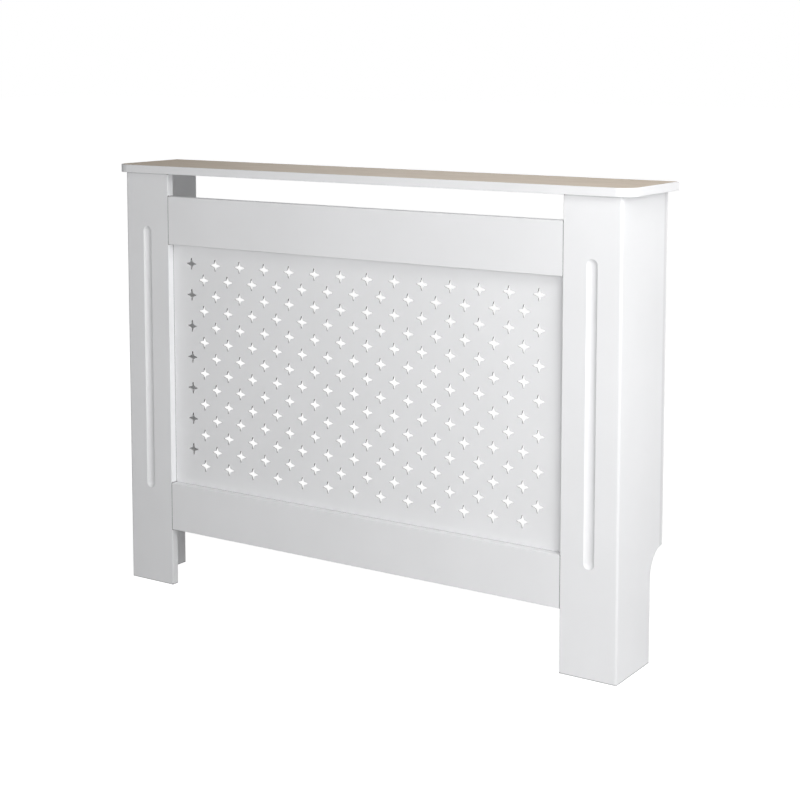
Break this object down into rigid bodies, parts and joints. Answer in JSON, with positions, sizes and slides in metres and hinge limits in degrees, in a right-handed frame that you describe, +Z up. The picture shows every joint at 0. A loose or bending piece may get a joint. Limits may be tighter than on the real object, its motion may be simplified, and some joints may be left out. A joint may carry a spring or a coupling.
{
  "type": "radiator cover cabinet",
  "caption": "White radiator cover that stands against a wall: fluted corner posts, two rails, a grille punched with crosses, an air slot, and a shelf with rounded front corners.",
  "frame": {"origin": "centre of the footprint, on the floor", "axes": "+X along the cabinet to the right as seen from the room, +Y towards the wall, +Z up"},
  "size_m": [1.11, 0.1836, 0.827],
  "materials": {
    "white_lacquer": "satin white lacquer on fibreboard",
    "white_grille": "satin white lacquer on thin fibreboard",
    "beige_laminate": "plain beige satin laminate",
    "softwood": "planed bare softwood",
    "beech": "bare turned beech",
    "cast_zinc": "die-cast zinc alloy, dull",
    "plated_steel": "bright zinc plated"
  },
  "bodies": {
    "root": {"left_post": "white_lacquer", "right_post": "white_lacquer", "left_side_panel": "white_lacquer", "right_side_panel": "white_lacquer", "left_corner_batten": "softwood", "right_corner_batten": "softwood", "upper_rail": "white_lacquer", "lower_rail": "white_lacquer", "rail_cam_discs": "cast_zinc", "rail_cam_bolts": "plated_steel", "rail_dowels": "beech", "grille_panel": "white_grille", "grille_screws": "plated_steel", "top_shelf": "white_lacquer", "shelf_laminate": "beige_laminate", "shelf_cam_discs": "cast_zinc", "shelf_cam_bolts": "plated_steel", "shelf_dowels": "beech", "left_wall_bracket": "plated_steel", "right_wall_bracket": "plated_steel", "bracket_screws": "plated_steel"}
  },
  "joints": []
}
